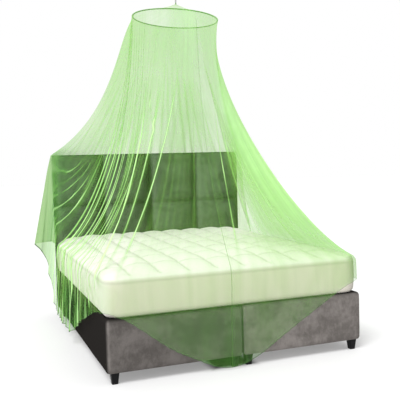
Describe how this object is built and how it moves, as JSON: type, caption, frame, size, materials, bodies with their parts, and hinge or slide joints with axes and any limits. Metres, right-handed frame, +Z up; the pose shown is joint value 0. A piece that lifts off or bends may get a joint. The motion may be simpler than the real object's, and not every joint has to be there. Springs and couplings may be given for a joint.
{
  "type": "mosquito net canopy with double bed",
  "caption": "Sheer green bed net hung from a hoop and a ceiling hook, falling in folds over a double bed with its mattress, padded headboard, split base and feet.",
  "frame": {"origin": "on the floor, under the middle of the whole part's box", "axes": "+Z up, +Y to the headboard, +X to the sleeper's left when lying on the back, which is the right as seen from the foot end"},
  "size_m": [2.0428, 2.33, 2.6771],
  "materials": {
    "net": "sheer knitted polyester net, bright green",
    "net_cap": "sheer knitted polyester net, bright green",
    "seam_tape": "doubled net, sewn flat",
    "hoop": "dark green hoop in its casing",
    "cord": "grey cord",
    "hook": "plain steel",
    "mattress": "white quilted top, cream sides",
    "base": "grey-brown velvet",
    "headboard": "grey velvet pads",
    "foot": "black lacquer"
  },
  "bodies": {
    "root": {"net_skirt": "net", "net_cap": "net_cap", "front_seam_tape": "seam_tape", "hoop": "hoop", "hanging_cord": "cord", "ceiling_hook": "hook", "hook_plate": "hook", "mattress": "mattress", "base_left": "base", "base_right": "base", "headboard": "headboard", "foot_front_left": "foot", "foot_front_middle_left": "foot", "foot_front_middle_right": "foot", "foot_front_right": "foot", "foot_back_left": "foot", "foot_back_middle_left": "foot", "foot_back_middle_right": "foot", "foot_back_right": "foot"}
  },
  "joints": []
}
